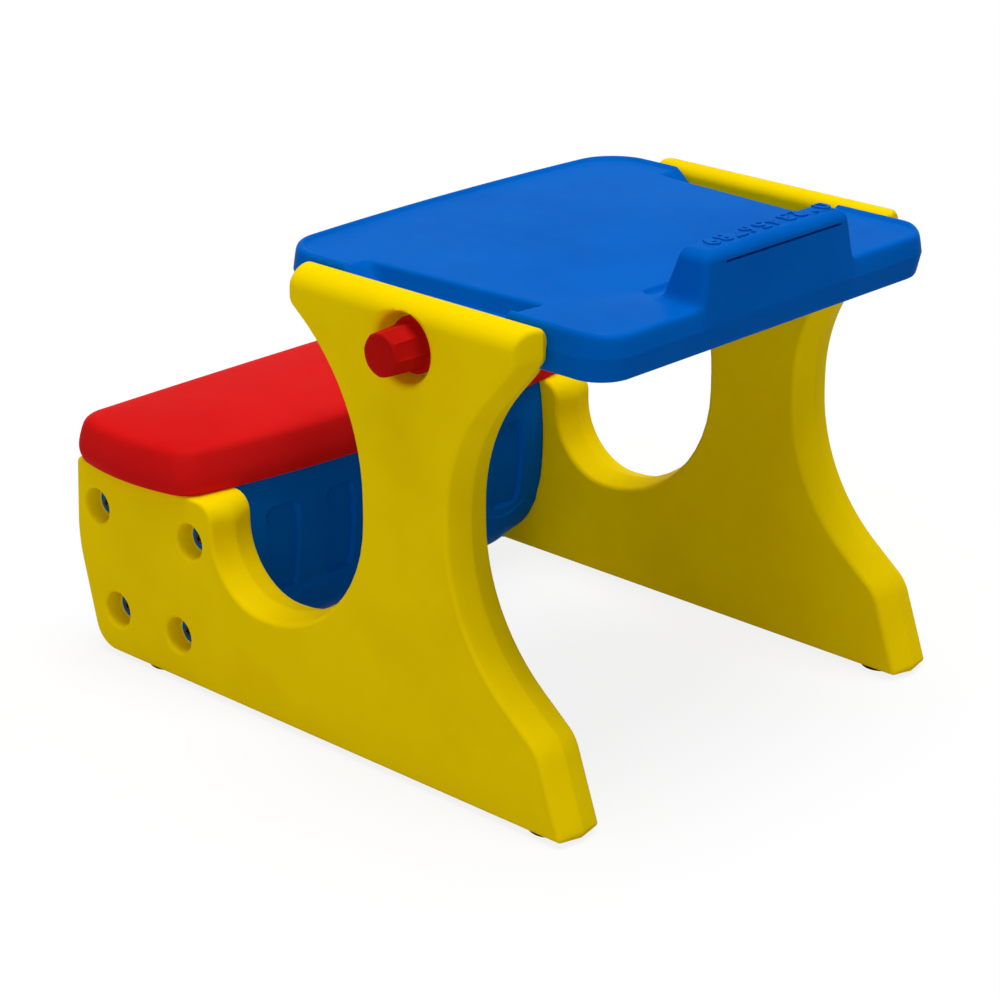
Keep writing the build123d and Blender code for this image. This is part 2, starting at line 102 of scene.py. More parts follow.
def moulded_plastic(name, pale, deep, gloss, grain):
    """Moulded plastic: a slow cloud between two near tones, a cloudy gloss, and a fine skin bump."""
    skin = bpy.data.materials.new(name)
    skin.use_nodes = True
    nodes = skin.node_tree.nodes
    links = skin.node_tree.links
    shader = nodes["Principled BSDF"]
    shader.inputs["Specular IOR Level"].default_value = 0.005
    place = nodes.new("ShaderNodeTexCoord")
    place.name = "place"
    cloud = nodes.new("ShaderNodeTexNoise")
    cloud.inputs["Scale"].default_value = 9.0
    cloud.inputs["Detail"].default_value = 3.0
    tones = nodes.new("ShaderNodeValToRGB")
    tones.color_ramp.elements[0].position = 0.3
    tones.color_ramp.elements[0].color = deep
    tones.color_ramp.elements[1].position = 0.6
    tones.color_ramp.elements[1].color = pale
    wear = nodes.new("ShaderNodeTexNoise")
    wear.name = "wear"
    wear.inputs["Scale"].default_value = 55.0
    wear.inputs["Detail"].default_value = 5.0
    sheen = nodes.new("ShaderNodeMapRange")
    sheen.inputs["To Min"].default_value = gloss - 0.06
    sheen.inputs["To Max"].default_value = gloss + 0.08
    pebble = nodes.new("ShaderNodeTexNoise")
    pebble.inputs["Scale"].default_value = 900.0
    pebble.inputs["Detail"].default_value = 2.0
    bump = nodes.new("ShaderNodeBump")
    bump.inputs["Strength"].default_value = grain
    bump.inputs["Distance"].default_value = 0.0004
    for noise in (cloud, wear, pebble):
        links.new(place.outputs["Object"], noise.inputs["Vector"])
    links.new(cloud.outputs["Fac"], tones.inputs["Fac"])
    links.new(tones.outputs["Color"], shader.inputs["Base Color"])
    links.new(wear.outputs["Fac"], sheen.inputs["Value"])
    links.new(sheen.outputs["Result"], shader.inputs["Roughness"])
    links.new(pebble.outputs["Fac"], bump.inputs["Height"])
    links.new(bump.outputs["Normal"], shader.inputs["Normal"])
    return skin


def skin_grid(points, around=False):
    """Rows of points as quads: each cell joins two neighbours in one row to the two in the next.
    With around, the last column joins the first."""
    rows, columns = points.shape[:2]
    index = np.arange(rows * columns).reshape(rows, columns)
    if around:
        index = np.concatenate([index, index[:, :1]], axis=1)
    cells = np.stack([index[:-1, :-1], index[:-1, 1:], index[1:, 1:], index[1:, :-1]], axis=-1)
    return points.reshape(-1, 3), cells.reshape(-1, 4)


def rolled_edges(corners, radii, moves, steps=13):
    """Closed outlines with rounded corners. Each edge is moved out by its amount, neighbouring
    lines are crossed for the corner, and an arc of the corner's radius replaces it."""
    edge = np.roll(corners, -1, axis=0) - corners
    normal = np.stack([edge[:, 1], -edge[:, 0]], axis=1) / np.linalg.norm(edge, axis=1)[:, None]
    before = np.roll(normal, 1, axis=0)
    reach = (normal * corners).sum(axis=1) + moves
    reach_before = np.roll(reach, 1, axis=1)
    cross = before[:, 0] * normal[:, 1] - before[:, 1] * normal[:, 0]
    x = (reach_before * normal[:, 1] - before[:, 1] * reach) / cross
    z = (before[:, 0] * reach - reach_before * normal[:, 0]) / cross
    side = np.sign(cross)
    radius = np.maximum(radii + side * (moves + np.roll(moves, 1, axis=1)) / 2, LEAST_RADIUS)
    lean = (before + normal) / (1 + (before * normal).sum(axis=1))[:, None]
    centre = np.stack([x, z], axis=-1) - (side * radius)[..., None] * lean
    start = np.arctan2(before[:, 1], before[:, 0])
    swing = np.arctan2(normal[:, 1], normal[:, 0]) - start
    swing = (swing + np.pi) % (2 * np.pi) - np.pi
    angle = start[:, None] + swing[:, None] * np.linspace(0, 1, steps)
    spoke = np.stack([np.cos(angle), np.sin(angle)], axis=-1)
    loops = centre[:, :, None] + (side * radius)[..., None, None] * spoke
    return loops.reshape(len(moves), -1, 2)


def spaced(path, count):
    """The path again with this many points, closer together where it turns."""
    step = np.diff(path, axis=0)
    length = np.linalg.norm(step, axis=1)
    heading = np.unwrap(np.arctan2(step[:, 1], step[:, 0]))
    turn = np.abs(np.gradient(heading)) if len(heading) > 1 else np.zeros(1)
    weight = length + TURN_WEIGHT * np.minimum(turn, TURN_MOST)
    run = np.concatenate([[0], np.cumsum(weight)])
    mark = np.linspace(0, run[-1], count)
    x, z = (np.interp(mark, run, path[:, axis]) for axis in (0, 1))
    return np.stack([x, z], axis=1)


def drawn_in(loop, amount):
    """A closed loop moved inward by this amount along its own normals."""
    tangent = np.roll(loop, -1, axis=0) - np.roll(loop, 1, axis=0)
    tangent /= np.maximum(np.linalg.norm(tangent, axis=1), 1e-9)[:, None]
    inward = np.stack([-tangent[:, 1], tangent[:, 0]], axis=1)
    area = (loop[:, 0] * np.roll(loop[:, 1], -1) - np.roll(loop[:, 0], -1) * loop[:, 1]).sum()
    return loop + inward * amount * np.sign(area)


def flat_cap(loop, holes, lift):
    """Flat face inside a loop. Without holes it is a fan from the middle; with holes, the triangles
    over all the points whose middle has an odd number of loop edges beside it. A narrow ring keeps
    the shading even."""
    ring = drawn_in(loop, CAP_RING)
    border = skin_grid(np.stack([lift(loop), lift(ring)]), True)
    if not holes:
        rim = np.arange(len(ring))
        fan = np.stack([rim, np.roll(rim, -1), np.full(len(rim), len(rim))], axis=1)
        return [border, (lift(np.concatenate([ring, ring.mean(axis=0)[None]])), fan)]
    loops = [ring] + holes
    flat = np.concatenate(loops).astype(np.float32).astype(float)
    ends = np.cumsum([0] + [len(one) for one in loops])
    chains = [np.arange(a, b) for a, b in zip(ends[:-1], ends[1:])]
    edges = np.concatenate([np.stack([c, np.roll(c, -1)], axis=1) for c in chains])
    found = delaunay_2d_cdt([Vector(p) for p in flat], edges.tolist(), [], 0, 1e-5)
    points = np.array([tuple(p) for p in found[0]])
    cells = np.array(found[2])
    x, z = points[cells].mean(axis=1).T[:, :, None]
    x0, z0 = flat[edges[:, 0]].T
    x1, z1 = flat[edges[:, 1]].T
    level = np.where(z1 == z0, 1.0, z1 - z0)
    beside = ((z0 > z) != (z1 > z)) & (x < x0 + (x1 - x0) * (z - z0) / level)
    cells = cells[beside.sum(axis=1) % 2 == 1]
    return [border, (lift(points), cells)]


def turned(profile, count=64):
    """A profile of radius and depth turned round its own axis, as rows of x, depth, z."""
    angle = np.linspace(0, 2 * np.pi, count, endpoint=False)
    x = profile[:, :1] * np.cos(angle)
    z = profile[:, :1] * np.sin(angle)
    return np.stack([x, np.broadcast_to(profile[:, 1:], x.shape), z], axis=-1)


def moulding(name, sheets, skin, crease=38.0):
    """One closed piece from its sheets: points are put in place, doubles merged, faces turned
    outward, and only edges sharper than the crease angle are left hard."""
    points = np.concatenate([sheet[0] for sheet in sheets])
    starts = np.cumsum([0] + [len(sheet[0]) for sheet in sheets])
    faces = []
    for start, sheet in zip(starts, sheets):
        faces += [[start + corner for corner in face] for face in sheet[1]]
    mesh = bpy.data.meshes.new(name)
    mesh.from_pydata(((points + DATUM) * METRES).tolist(), [], faces)
    work = bmesh.new()
    work.from_mesh(mesh)
    bmesh.ops.remove_doubles(work, verts=work.verts, dist=WELD)
    bmesh.ops.dissolve_degenerate(work, edges=work.edges, dist=SLIVER)
    bmesh.ops.recalc_face_normals(work, faces=work.faces)
    work.to_mesh(mesh)
    work.free()
    mesh.shade_smooth()
    mesh.set_sharp_from_angle(angle=math.radians(crease))
    mesh.materials.append(skin)
    made = bpy.data.objects.new(name, mesh)
    bpy.context.scene.collection.objects.link(made)
    return made


def standing_at(y):
    """Puts a flat shape of x and z on the upright plane at y."""
    def lift(flat):
        return np.stack([flat[:, 0], np.full(len(flat), y), flat[:, 1]], axis=1)
    return lift


def shelf_path(front, rear, sunk):
    """Shelf under the desk top, front to rear: level, then the round pocket of the pivot, then
    the slope that lets the desk tip. Sunk lowers it all for the rolled inner edge."""
    radius = POCKET_RADIUS + sunk
    lip = math.asin(sunk / radius)
    angle = np.linspace(-lip, -math.pi + SHELF_SLOPE + lip, 41)
    arc = (PIVOT_X, SHELF_HEIGHT) + radius * np.stack([np.cos(angle), np.sin(angle)], axis=1)
    part = np.linspace(0, 1, 25)[:, None]
    level = front + (arc[0] - front) * part
    slope = arc[-1] + (rear - arc[-1]) * part
    return np.concatenate([level[:-1], arc, slope[1:]])


def lip_depth(x, z):
    """How far the knob's well goes in at a place on the face, by its distance from the axle."""
    reach = np.hypot(x - PIVOT_X, z - SHELF_HEIGHT)
    return np.interp(reach, KNOB_WELL[WELL_LIP::-1, 0], KNOB_WELL[WELL_LIP::-1, 1])


def beaded(path, amount):
    """A path moved to its left by an amount at each point."""
    flow = np.gradient(path, axis=0)
    flow /= np.linalg.norm(flow, axis=1)[:, None]
    return path + np.stack([-flow[:, 1], flow[:, 0]], axis=1) * amount[:, None]


def panel_sheets():
    """Outline of the face carried through the thickness: each edge is moved by the ridge's tent
    shape less a quarter round at each face. The flare's top rises by one quarter ellipse to its peak
    and falls by another, and a bead rounds the edge beside the desk top."""
    rolled = PANEL_ROUND * (1 - np.cos(np.linspace(0, np.pi / 2, 8)))
    depth = np.concatenate([rolled, PANEL_STATIONS, (PANEL_THICK - rolled)[::-1]])[:, None]
    face_gap = np.minimum(depth, PANEL_THICK - depth)
    inset = PANEL_ROUND - np.sqrt(PANEL_ROUND**2 - np.maximum(PANEL_ROUND - face_gap, 0) ** 2)
    tent = 1 - np.abs(depth - PANEL_THICK / 2) / (PANEL_THICK / 2)
    moves = PANEL_CORNERS[:, 3] * tent - inset
    climb = np.clip(depth / CROWN_PEAK, 0, 1)
    fall = np.clip((depth - CROWN_PEAK) / (PANEL_WEB - CROWN_PEAK), 0, 1)
    crown = CROWN_START + (FLARE_CROWN - CROWN_START) * np.sqrt(1 - (1 - climb) ** 2)
    crown = np.where(fall > 0, FLARE_CROWN * np.sqrt(1 - fall**2), crown)
    moves[:, FLARE_EDGE] = crown[:, 0]
    radii = PANEL_CORNERS[:, 2] * np.ones((len(depth), 1))
    crown_ends = [FLARE_EDGE, FLARE_EDGE + 1]
    radii[:, crown_ends] -= (moves + np.roll(moves, 1, axis=1))[:, crown_ends] / 2
    loops = rolled_edges(PANEL_CORNERS[:, :2], radii, moves)
    depth = depth[:, 0]
    sunk = inset[:, 0] * SHELF_SINK * (depth > PANEL_WEB)
    bead = np.clip(depth - PANEL_WEB + BEAD, 0, BEAD)
    bead = BEAD - np.sqrt(BEAD**2 - bead**2)
    lower, upper, shelf = [], [], []
    for loop, drop, round_in in zip(loops, sunk, bead):
        slope = np.maximum(PIVOT_X - loop[:, 0], 0) * math.tan(SHELF_SLOPE)
        over = loop[:, 1] - (SHELF_HEIGHT - drop - slope)
        above = over > 0
        front = int(np.flatnonzero(~above & np.roll(above, -1))[0])
        loop = np.roll(loop, -front - 1, axis=0)
        over = np.roll(over, -front - 1)
        rear = int(np.flatnonzero(over > 0)[-1])
        share = over[-1] / (over[-1] - over[0])
        cross_front = loop[-1] + (loop[0] - loop[-1]) * share
        share = over[rear] / (over[rear] - over[rear + 1])
        cross_rear = loop[rear] + (loop[rear + 1] - loop[rear]) * share
        top = np.concatenate([[cross_front], loop[: rear + 1], [cross_rear]])
        top = spaced(top, FLARE_POINTS)
        below = np.concatenate([[cross_rear], loop[rear + 1:], [cross_front]])
        below = spaced(below, LEG_POINTS)
        on_top = np.clip((top[:, 1] - BEAD_CROWN[0]) / BEAD_CROWN[1], 0, 1)
        run = np.concatenate([[0], np.cumsum(np.linalg.norm(np.diff(below, axis=0), axis=1))])
        from_shelf = np.clip(np.minimum(run, run[-1] - run) / BEAD_FADE, 0, 1)
        top = beaded(top, round_in * (1 - on_top))
        below = beaded(below, round_in * (1 - from_shelf) ** 2)
        below[0], below[-1] = top[-1], top[0]
        upper.append(top)
        lower.append(below)
        shelf.append(shelf_path(top[0], top[-1], drop))

    def carried(rows, levels):
        return np.stack([standing_at(level)(row) for row, level in zip(rows, levels)])

    web = int(np.flatnonzero(depth == PANEL_WEB)[0])
    around = [np.concatenate([up[:-1], low[:-1]]) for up, low in zip(upper, lower)]
    sheets = [skin_grid(carried(around[: web + 1], depth[: web + 1]), True)]
    sheets.append(skin_grid(carried(lower[web:], depth[web:])))
    sheets.append(skin_grid(carried(shelf[web:], depth[web:])))
    wells = [(KNOB_WELL, PIVOT_X, SHELF_HEIGHT)]
    wells += [(SCREW_WELL, x, z) for x, z in SCREW_PLACES.values()]
    mouths, floors, hollows = [], [], []
    for profile, x, z in wells:
        well = turned(profile)
        if profile is KNOB_WELL:
            upward = well[..., 2] / np.hypot(well[..., 0], well[..., 2])
            ceiling = WELL_CEILING / np.maximum(upward, 0.01)
            well[..., [0, 2]] *= np.minimum(ceiling / profile[:, :1], 1)[..., None]
        well += np.array([x, 0, z])
        hollows.append(skin_grid(well, True))
        mouths.append(well[0][:, [0, 2]])
        floors.append(well[-1][:, [0, 2]])
    wall = np.concatenate([upper[web][:-1], shelf[web][:0:-1]])
    inner = np.concatenate([lower[-1][:-1], shelf[-1][:-1]])
    sheets += flat_cap(around[0], mouths, standing_at(0.0))
    sheets += flat_cap(wall, floors[:1], standing_at(PANEL_WEB))
    sheets += flat_cap(inner, floors[1:], standing_at(PANEL_THICK))
    sheets += hollows
    for points, _ in sheets:
        x, y, z = points.T
        points[:, 1] = np.maximum(y, lip_depth(x, z) * (y < PANEL_WEB))
    return sheets


yellow_plastic = moulded_plastic("panel_yellow", YELLOW_PALE, YELLOW_DEEP, SATIN, SKIN_GRAIN)
for hand, side in (("right", 1.0), ("left", -1.0)):
    sheets = [(p * (1, side, 1) - (0, side * PANEL_OUTER, 0), f) for p, f in panel_sheets()]
    panel = moulding("panel_" + hand, sheets, yellow_plastic)
    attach(panel, "frame")
    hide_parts("side_panel_" + hand)

# Storage box: an open tub of blue plastic with a well-rounded bottom, shallow upright pockets on
# its front and a scalloped step under them. Eight screws hold it between the panels.
BOX_X = (62.0, 230.5)
BOX_HALF = 223.0
BOX_BOTTOM = 3.0
BOX_TOP = 199.0
BOX_REAR_ROUND = 30.0
BOX_FRONT_ROUND = 63.0
BOX_END_ROUND = 85.0
BOX_END_REACH = (165.0, 223.0)
BOX_WALL = 4.0
BOX_FRONT_WALL = 7.0
BOX_CORNER = 7.0
BOX_STEP = 1.5
# Swell of the front, its middle height and its reach up and down
BOX_BULGE = (6.0, 135.0, 64.0)
BOX_FRONT_TAPER = (172.0, 192.0)
BOX_RIM_ROUND = (0.1, 0.4, 1.2)
BOX_RIM_EASE = 0.6
BOX_ROUND_ROWS = 26
BOX_ROUND_KEPT = 19
BOX_LEVELS = np.concatenate([
    np.arange(55, 74, 0.9), np.arange(78, 158, 8), np.arange(160, 169, 0.9),
    (174, 182, 190, 196, 198, 198.7, BOX_TOP),
])
BOX_INSIDE_LEVELS = (BOX_TOP, 198.6, 190, 176, 150, 110)
BOX_FRONT_POINTS = 420
BOX_REAR_POINTS = 60
BOX_SIDE_POINTS = 20
SCALLOP_HEIGHT = 61.0
SCALLOP_SWING = 4.0
SCALLOP_PITCH = 81.0
POCKET_CENTRES = np.array([-165.0, -84.0, 0.0, 84.0, 165.0])
POCKET_HALVES = np.array([22.0, 18.5, 18.5, 18.5, 22.0])
POCKET_TALL = 48.0
POCKET_CORNER = 10.0
POCKET_MIDDLE = 116.0
POCKET_DEPTH = 5.0
EAR_CORNERS = np.array([
    (40, 186.5, 3), (63, 185.5, 1), (63, 198.4, 1), (48.5, 198.4, 1), (48.5, 208.5, 4.4),
    (39.5, 208.5, 4.4), (39.5, 190, 3),
])
EAR_PLACES = (-137.0, -103.0, 103.0, 137.0)
EAR_HALF = 5.5
EAR_BEVEL = 0.7
BOSS = np.array([
    (0, 199), (7.6, 199), (8.6, 199.4), (9, 200.4), (9, 222.9), (3.1, 222.9), (3.1, 204), (0, 204),
])
BLUE_PALE = (0.0, 0.127, 0.565, 1)
BLUE_DEEP = (0.0, 0.112, 0.515, 1)


def smooth_step(low, high, value):
    """Zero below low, one above high, and the usual cubic ease between."""
    share = np.clip((value - low) / (high - low), 0, 1)
    return share * share * (3 - 2 * share)


def level_at(z):
    """Puts a flat shape of x and y at the height z."""
    def lift(flat):
        return np.column_stack([flat, np.full(len(flat), z)])
    return lift


def rounded_plan(depth, half, corner, bends, front, side_points, rear):
    """A rectangle in x and y whose corners are quarter rounds: from x0 to x1 in depth, half to each
    side, with given places along its front and its rear."""
    x0, x1 = depth
    quarter = np.linspace(0, np.pi / 2, bends)
    bend = corner * np.stack([np.cos(quarter), np.sin(quarter)], axis=1)
    side = np.linspace(x1 - corner, x0 + corner, side_points + 2)[1:-1]
    return np.concatenate([
        np.stack([np.full(len(front), x1), front], axis=1),
        bend + (x1 - corner, half - corner),
        np.stack([side, np.full(side_points, half)], axis=1),
        bend[:, ::-1] * (-1, 1) + (x0 + corner, half - corner),
        np.stack([np.full(len(rear), x0), rear], axis=1),
        bend * (-1, -1) + (x0 + corner, corner - half),
        np.stack([side[::-1], np.full(side_points, -half)], axis=1),
        bend[:, ::-1] * (1, -1) + (x1 - corner, corner - half),
    ])


def tub_loop(rear_in, front_in, end_in, corner):
    """Plan of the tub at one level, with close stations along the front."""
    half = BOX_HALF - end_in
    front = np.linspace(-1, 1, BOX_FRONT_POINTS)[:-1] * (half - corner)
    rear = np.linspace(1, -1, BOX_REAR_POINTS)[1:-1] * (half - corner)
    depth = (BOX_X[0] + rear_in, BOX_X[1] - front_in)
    return rounded_plan(depth, half, corner, 9, front, BOX_SIDE_POINTS, rear)


def round_inset(height, bottom, radius):
    """How far a quarter round of this radius stands back from the upright at a height."""
    under = np.clip(bottom + radius - height, 0, radius)
    return radius - np.sqrt(radius**2 - under**2)


def pulled_in(plan, level):
    """The plan with its front drawn back near the ends, where the bottom's round is wider."""
    extra = round_inset(level, BOX_BOTTOM, BOX_END_ROUND)
    extra = extra - round_inset(level, BOX_BOTTOM, BOX_FRONT_ROUND)
    x, y = plan[:, 0], plan[:, 1]
    forward = (x - x.min()) / (x.max() - x.min())
    return np.column_stack([x - extra * forward * smooth_step(*BOX_END_REACH, np.abs(y)), y])


def tub_sheets():
    """Rows of the plan from the floor up the outside, over the rim and down the inside. Quarter
    rounds carry the front and the rear into the bottom. The front swells by a parabola, and goes in
    by a rounded-box mask at each pocket and by the step over the scallops, a cosine of the width."""
    angle = np.linspace(0, np.pi / 2, BOX_ROUND_ROWS)
    bottom_rows = BOX_BOTTOM + BOX_FRONT_ROUND * (1 - np.cos(angle[:BOX_ROUND_KEPT]))
    height = np.concatenate([bottom_rows, BOX_LEVELS])
    swell, middle, tall = BOX_BULGE
    bulge = swell * np.maximum(1 - ((height - middle) / tall) ** 2, 0)
    front_in = round_inset(height, BOX_BOTTOM, BOX_FRONT_ROUND) - bulge
    rear_in = round_inset(height, BOX_BOTTOM, BOX_REAR_ROUND)
    rim_in = np.zeros(len(height))
    rim_in[-len(BOX_RIM_ROUND):] = BOX_RIM_ROUND
    rows = []
    for level, rear, front, rim in zip(height, rear_in, front_in, rim_in):
        plan = tub_loop(rear + rim, front + rim, rim, BOX_CORNER)
        x, y = plan[:, 0], plan[:, 1]
        foremost = BOX_X[1] - front - rim
        on_front = smooth_step(foremost - 4, foremost - 0.1, x)
        scallop = SCALLOP_HEIGHT - SCALLOP_SWING * np.cos(y * 2 * np.pi / SCALLOP_PITCH)
        step = BOX_STEP * smooth_step(scallop - 1, scallop + 1, level)
        gap_y = np.min(np.abs(y[:, None] - POCKET_CENTRES) - POCKET_HALVES, axis=1)
        gap_y = gap_y + POCKET_CORNER
        gap_z = abs(level - POCKET_MIDDLE) - POCKET_TALL + POCKET_CORNER
        outside = np.hypot(np.maximum(gap_y, 0), max(gap_z, 0)) - POCKET_CORNER
        distance = outside + np.minimum(np.maximum(gap_y, gap_z), 0)
        sink = POCKET_DEPTH * smooth_step(1.0, -1.0, distance)
        plan[:, 0] = x - (step + sink) * on_front
        rows.append(level_at(level)(pulled_in(plan, level)))
    floor = BOX_BOTTOM + BOX_WALL
    inner_round = BOX_FRONT_ROUND - BOX_WALL
    depth = np.concatenate([BOX_INSIDE_LEVELS, floor + inner_round * (1 - np.cos(angle[::-1]))])
    front_wall = np.interp(depth, BOX_FRONT_TAPER, (BOX_FRONT_WALL, BOX_WALL))
    front_in = round_inset(depth, floor, inner_round) + front_wall
    rear_in = round_inset(depth, floor, BOX_REAR_ROUND - BOX_WALL) + BOX_WALL
    for level, rear, front in zip(depth, rear_in, front_in):
        ease = BOX_RIM_EASE * (level == BOX_TOP)
        plan = tub_loop(rear - ease, front - ease, BOX_WALL - ease, BOX_CORNER - 3)
        rows.append(level_at(level)(pulled_in(plan, level)))
    sheets = [skin_grid(np.stack(rows), True)]
    sheets += flat_cap(rows[0][:, :2], [], level_at(BOX_BOTTOM))
    sheets += flat_cap(rows[-1][:, :2], [], level_at(floor))
    return sheets


def slab_sheets(corners, across, bevel):
    """A flat shape of rounded corners in x and z, carried along y with a small bevel at each end."""
    y0, y1 = across
    station = np.array([y0, y0 + bevel, y1 - bevel, y1])
    moves = np.array([-bevel, 0, 0, -bevel])[:, None] * np.ones(len(corners))
    loops = rolled_edges(corners[:, :2], corners[:, 2], moves, steps=7)
    rows = np.stack([standing_at(y)(loop) for loop, y in zip(loops, station)])
    sheets = [skin_grid(rows, True)]
    sheets += flat_cap(loops[0], [], standing_at(y0))
    sheets += flat_cap(loops[-1], [], standing_at(y1))
    return sheets


blue_plastic = moulded_plastic("desk_blue", BLUE_PALE, BLUE_DEEP, SATIN, SKIN_GRAIN)
sheets = tub_sheets()
for y in EAR_PLACES:
    sheets += slab_sheets(EAR_CORNERS, (y - EAR_HALF, y + EAR_HALF), EAR_BEVEL)
for x, z in SCREW_PLACES.values():
    for side in (-1, 1):
        boss = turned(BOSS, 32) * (1, side, 1) + np.array([x, 0, z])
        sheets.append(skin_grid(boss, True))
tub = moulding("toy_box", sheets, blue_plastic)
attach(tub, "frame")
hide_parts("storage_box")

# Panel screws and washers: a blackened pan-head screw with a cross recess on a moulded blue washer,
# at the bottom of each well. They run through the panel into the box's bosses.
SCREW_SEAT = 257.0
WASHER = np.array([
    (3.05, 0), (13, 0), (13.7, 0.3), (14, 0.9), (14, 1.7), (13.7, 2.2), (13, 2.5), (8.4, 2.5),
    (3.05, 2.5), (3.05, 0),
])
SCREW = np.array([
    (0, 6.9), (1, 6.9), (2, 6.85), (3, 6.7), (4, 6.45), (5, 6.0), (6, 5.2), (6.6, 4.4), (6.95, 3.4),
    (7, 2.5), (3, 2.5), (3, -52), (1.6, -53.6), (0, -54),
])
SCREW_HEAD_ROWS = np.concatenate([np.linspace(0, 4.6, 24), [5, 5.5, 6, 6.4, 6.7]])
CROSS_BAR = (1.0, 0.55)
CROSS_REACH = (4.3, 3.2)
CROSS_DEPTH = 2.2
HEAD_CROWN = 5.0
DARK_STEEL_PALE = (0.06, 0.06, 0.065, 1)
DARK_STEEL_DEEP = (0.03, 0.03, 0.034, 1)


def brushed_metal(name, pale, deep, gloss):
    """Bare metal: fine streaks between two near tones, and a streaky gloss."""
    skin = moulded_plastic(name, pale, deep, gloss, 0.06)
    nodes = skin.node_tree.nodes
    nodes["Principled BSDF"].inputs["Metallic"].default_value = 1.0
    stretch = nodes.new("ShaderNodeMapping")
    stretch.inputs["Scale"].default_value = (1.0, 0.08, 1.0)
    streaks = nodes["wear"]
    streaks.inputs["Scale"].default_value = 700.0
    links = skin.node_tree.links
    links.new(nodes["place"].outputs["Object"], stretch.inputs["Vector"])
    links.new(stretch.outputs["Vector"], streaks.inputs["Vector"])
    return skin


def screw_rows():
    """The turned screw, its head sunk by a cross: two crossing bars that taper inward with depth."""
    crown = np.interp(SCREW_HEAD_ROWS, SCREW[:7, 0], SCREW[:7, 1])
    top = np.stack([SCREW_HEAD_ROWS, crown], axis=1)
    rows = turned(np.concatenate([top, SCREW[8:]]), 96)
    radius = np.hypot(rows[..., 0], rows[..., 2])
    bar = np.minimum(np.abs(rows[..., 0]), np.abs(rows[..., 2]))
    cross = smooth_step(*CROSS_BAR, bar) * smooth_step(*CROSS_REACH, radius)
    rows[..., 1] -= CROSS_DEPTH * cross * (rows[..., 1] > HEAD_CROWN)
    return rows


dark_steel = brushed_metal("screw_black", DARK_STEEL_PALE, DARK_STEEL_DEEP, 0.4)
for place, (x, z) in SCREW_PLACES.items():
    for hand, side in (("right", -1.0), ("left", 1.0)):
        seat = np.array([x, side * SCREW_SEAT, z])
        disc = skin_grid(turned(WASHER, 48) * (1, side, 1) + seat, True)
        washer = moulding("washer_%s_%s" % (place, hand), [disc], blue_plastic)
        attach(washer, "frame")
        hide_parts("screw_washer_%s_%s" % (place, hand))
        shaft = skin_grid(screw_rows() * (1, side, 1) + seat, True)
        screw = moulding("screw_%s_%s" % (place, hand), [shaft], dark_steel)
        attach(screw, "frame")
        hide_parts("panel_screw_%s_%s" % (place, hand))

# Feet: four black rubber pads, moulded with rings underneath for grip. A stem on each is pressed
# into the panel's bottom.
FOOT_PLACES = {"rear": 150.0, "front": 680.0}
FOOT = np.array([
    (0, -7.4), (5, -7.4), (5.6, -7.7), (6.4, -8), (9.4, -8), (10, -7.7), (10.6, -7.4), (12.6, -7.4),
    (13.2, -7.7), (14, -8), (18.8, -8), (19.8, -7.8), (20.6, -7.1), (21, -6.1), (21, -3.1),
    (20.6, -2.5), (4, -2.5), (4, 6.9), (3.4, 7.5), (0, 7.5),
])
FOOT_LINE = 250.0
RUBBER_PALE = (0.03, 0.03, 0.03, 1)
RUBBER_DEEP = (0.014, 0.014, 0.014, 1)
foot_rubber = moulded_plastic("foot_black", RUBBER_PALE, RUBBER_DEEP, 0.72, 0.3)
for place, x in FOOT_PLACES.items():
    for hand, side in (("right", -1.0), ("left", 1.0)):
        upright = turned(FOOT, 48)[..., [0, 2, 1]] + np.array([x, side * FOOT_LINE, 0])
        foot = moulding("foot_pad_%s_%s" % (place, hand), [skin_grid(upright, True)], foot_rubber)
        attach(foot, "frame")
        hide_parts("foot_%s_%s" % (place, hand))

# Seat lid: a hollow red cushion shape, blow-moulded, that closes the toy box and is the seat. Two
# knuckles at its rear turn on steel pins held by the box's ears.
LID_X = (48.0, 223.5)
LID_HALF = 281.0
LID_CORNER = 17.0
LID_CORNER_SHARE = 0.45
LID_POINTS = 320
# Bow of the rear, the front and the ends
LID_BOW = (3.0, 29.5, 13.0)
LID_BASE = 199.0
# Height over the base, and insets at the rear, the front and the ends
LID_SECTIONS = np.array([
    (0.0, 8.5, 6.0, 6.0), (0.0, 5.5, 2.5, 3.0), (14.0, -0.4, -0.4, -0.4), (37.0, 3.0, 4.5, 4.5),
    (44.5, 6.5, 7.5, 8.0), (48.3, 14.0, 15.0, 15.0), (50.2, 36.0, 38.0, 36.0),
    (52.0, 72.0, 72.0, 70.0),
])
KNUCKLE_CORNERS = np.array([(38, 198, 5.9), (58, 199.6, 1), (58, 209.5, 1), (38, 210, 5.9)])
KNUCKLE_PLACES = (-120.0, 120.0)
KNUCKLE_HALF = 11.0
KNUCKLE_BEVEL = 0.8
RED_PALE = (0.72, 0.0105, 0.01, 1)
RED_DEEP = (0.66, 0.008, 0.008, 1)
STEEL_PALE = (0.62, 0.62, 0.64, 1)
STEEL_DEEP = (0.5, 0.5, 0.52, 1)


def cut_corners(profile, times):
    """Each pass replaces every inner point by two, a quarter of the way along its segments."""
    for _ in range(times):
        near = profile[:-1] * 0.75 + profile[1:] * 0.25
        far = profile[:-1] * 0.25 + profile[1:] * 0.75
        inner = np.stack([near, far], axis=1).reshape(-1, profile.shape[1])
        profile = np.concatenate([profile[:1], inner, profile[-1:]])
    return profile


